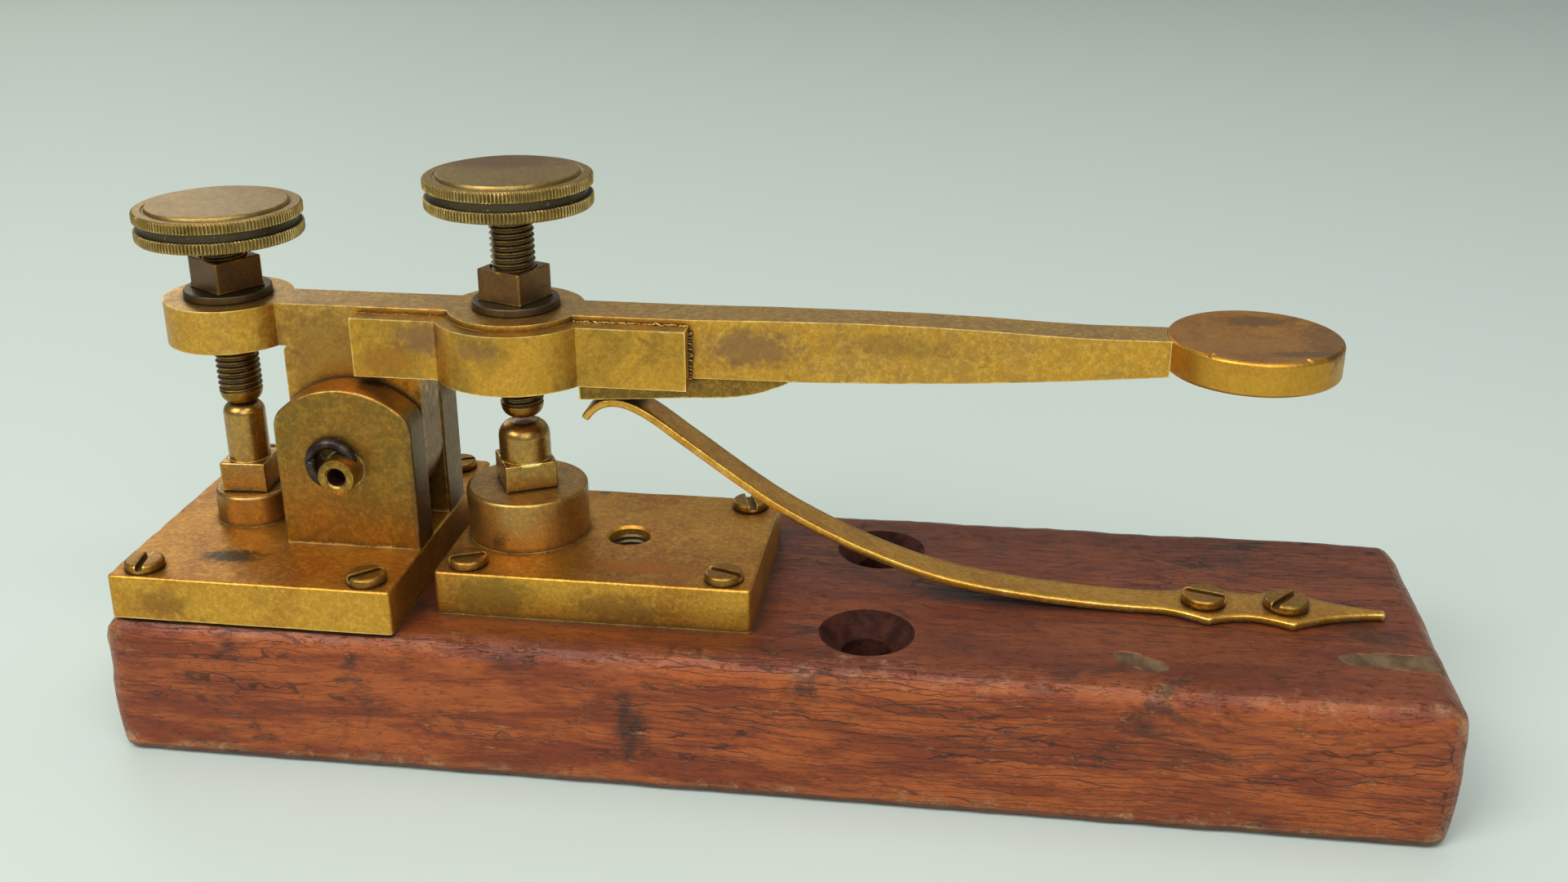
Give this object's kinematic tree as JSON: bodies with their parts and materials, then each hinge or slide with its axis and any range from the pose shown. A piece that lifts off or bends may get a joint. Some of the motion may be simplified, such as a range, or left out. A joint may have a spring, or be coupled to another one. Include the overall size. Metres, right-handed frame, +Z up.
{
  "type": "morse key",
  "caption": "Straight morse key: brass lever on a hollow pin, knurled contact screws with lock nuts, leaf return spring and a finger disc, on a wooden base.",
  "frame": {"origin": "middle of the underside of the wooden base", "axes": "+X along the base from the adjusting screws to the finger disc, +Y across it towards the far side, +Z up"},
  "size_m": [0.22, 0.06, 0.0956],
  "materials": {
    "base_wood": "old oiled hardwood, dark red brown, worn edges",
    "plate_brass": "aged brass with orange brown patina",
    "lever_brass": "aged brass, golden, mottled patina",
    "knob_brass": "olive brown brass with bright knurl",
    "screw_brass": "dull brown brass",
    "spring_brass": "rolled spring brass, bright edges",
    "dark_bronze": "dark bronze patina",
    "contact_copper": "dull pink contact metal",
    "clip_wire": "blackened steel wire"
  },
  "bodies": {
    "base": {"base_block": "base_wood", "rear_plate": "plate_brass", "front_plate": "plate_brass", "rear_plate_screws": "screw_brass", "front_plate_screws": "screw_brass", "front_cheek": "plate_brass", "rear_cheek": "plate_brass", "cheek_screws": "screw_brass", "pivot_pin": "plate_brass", "pin_clip": "clip_wire", "rear_pedestal": "plate_brass", "front_pedestal": "plate_brass", "rear_anvil": "plate_brass", "front_anvil": "plate_brass", "rear_anvil_contact": "contact_copper", "front_anvil_contact": "contact_copper", "leaf_spring": "spring_brass", "spring_screws": "screw_brass"},
    "lever": {"lever": "lever_brass", "side_strap": "lever_brass", "spring_pad": "lever_brass", "finger_disc": "lever_brass", "rear_washer": "dark_bronze", "front_washer": "dark_bronze"},
    "rear_nut": {"rear_lock_nut": "dark_bronze"},
    "front_nut": {"front_lock_nut": "dark_bronze"},
    "rear_tip": {"rear_contact_tip": "dark_bronze"},
    "front_tip": {"front_contact_tip": "dark_bronze"},
    "rear_adjuster": {"rear_adjusting_screw": "dark_bronze", "rear_knob": "knob_brass"},
    "front_adjuster": {"front_adjusting_screw": "dark_bronze", "front_knob": "knob_brass"}
  },
  "joints": [
    {"name": "lever_pivot", "type": "hinge", "parent": "base", "child": "lever", "pos_m": [-0.0706, -0.0017, 0.047], "axis": [0, 1, 0], "range_deg": [0, 1.9], "stiffness_Nm_per_rad": 3, "springref_deg": -4.87, "deforming": ["leaf_spring"]},
    {"name": "rear_screw_travel", "type": "slide", "parent": "lever", "child": "rear_tip", "axis": [0, 0, 1], "range_m": [0, 0.004]},
    {"name": "rear_screw_turn", "type": "hinge", "parent": "rear_tip", "child": "rear_adjuster", "pos_m": [-0.0927, -0.0017, 0.075], "axis": [0, 0, 1], "range_deg": [0, 1441]},
    {"name": "front_screw_travel", "type": "slide", "parent": "lever", "child": "front_tip", "axis": [0, 0, 1], "range_m": [-0.0005, 0.004]},
    {"name": "front_screw_turn", "type": "hinge", "parent": "front_tip", "child": "front_adjuster", "pos_m": [-0.0429, -0.0017, 0.075], "axis": [0, 0, 1], "range_deg": [-181, 1441]},
    {"name": "rear_nut_turn", "type": "hinge", "parent": "lever", "child": "rear_nut", "pos_m": [-0.0927, -0.0017, 0.075], "axis": [0, 0, 1], "range_deg": [0, 90]},
    {"name": "front_nut_turn", "type": "hinge", "parent": "lever", "child": "front_nut", "pos_m": [-0.0429, -0.0017, 0.075], "axis": [0, 0, 1], "range_deg": [0, 90]}
  ],
  "couplings": [
    {"joint": "rear_screw_turn", "follows": "rear_screw_travel", "rad_per_m": 6283.2},
    {"joint": "front_screw_turn", "follows": "front_screw_travel", "rad_per_m": 6283.2}
  ]
}
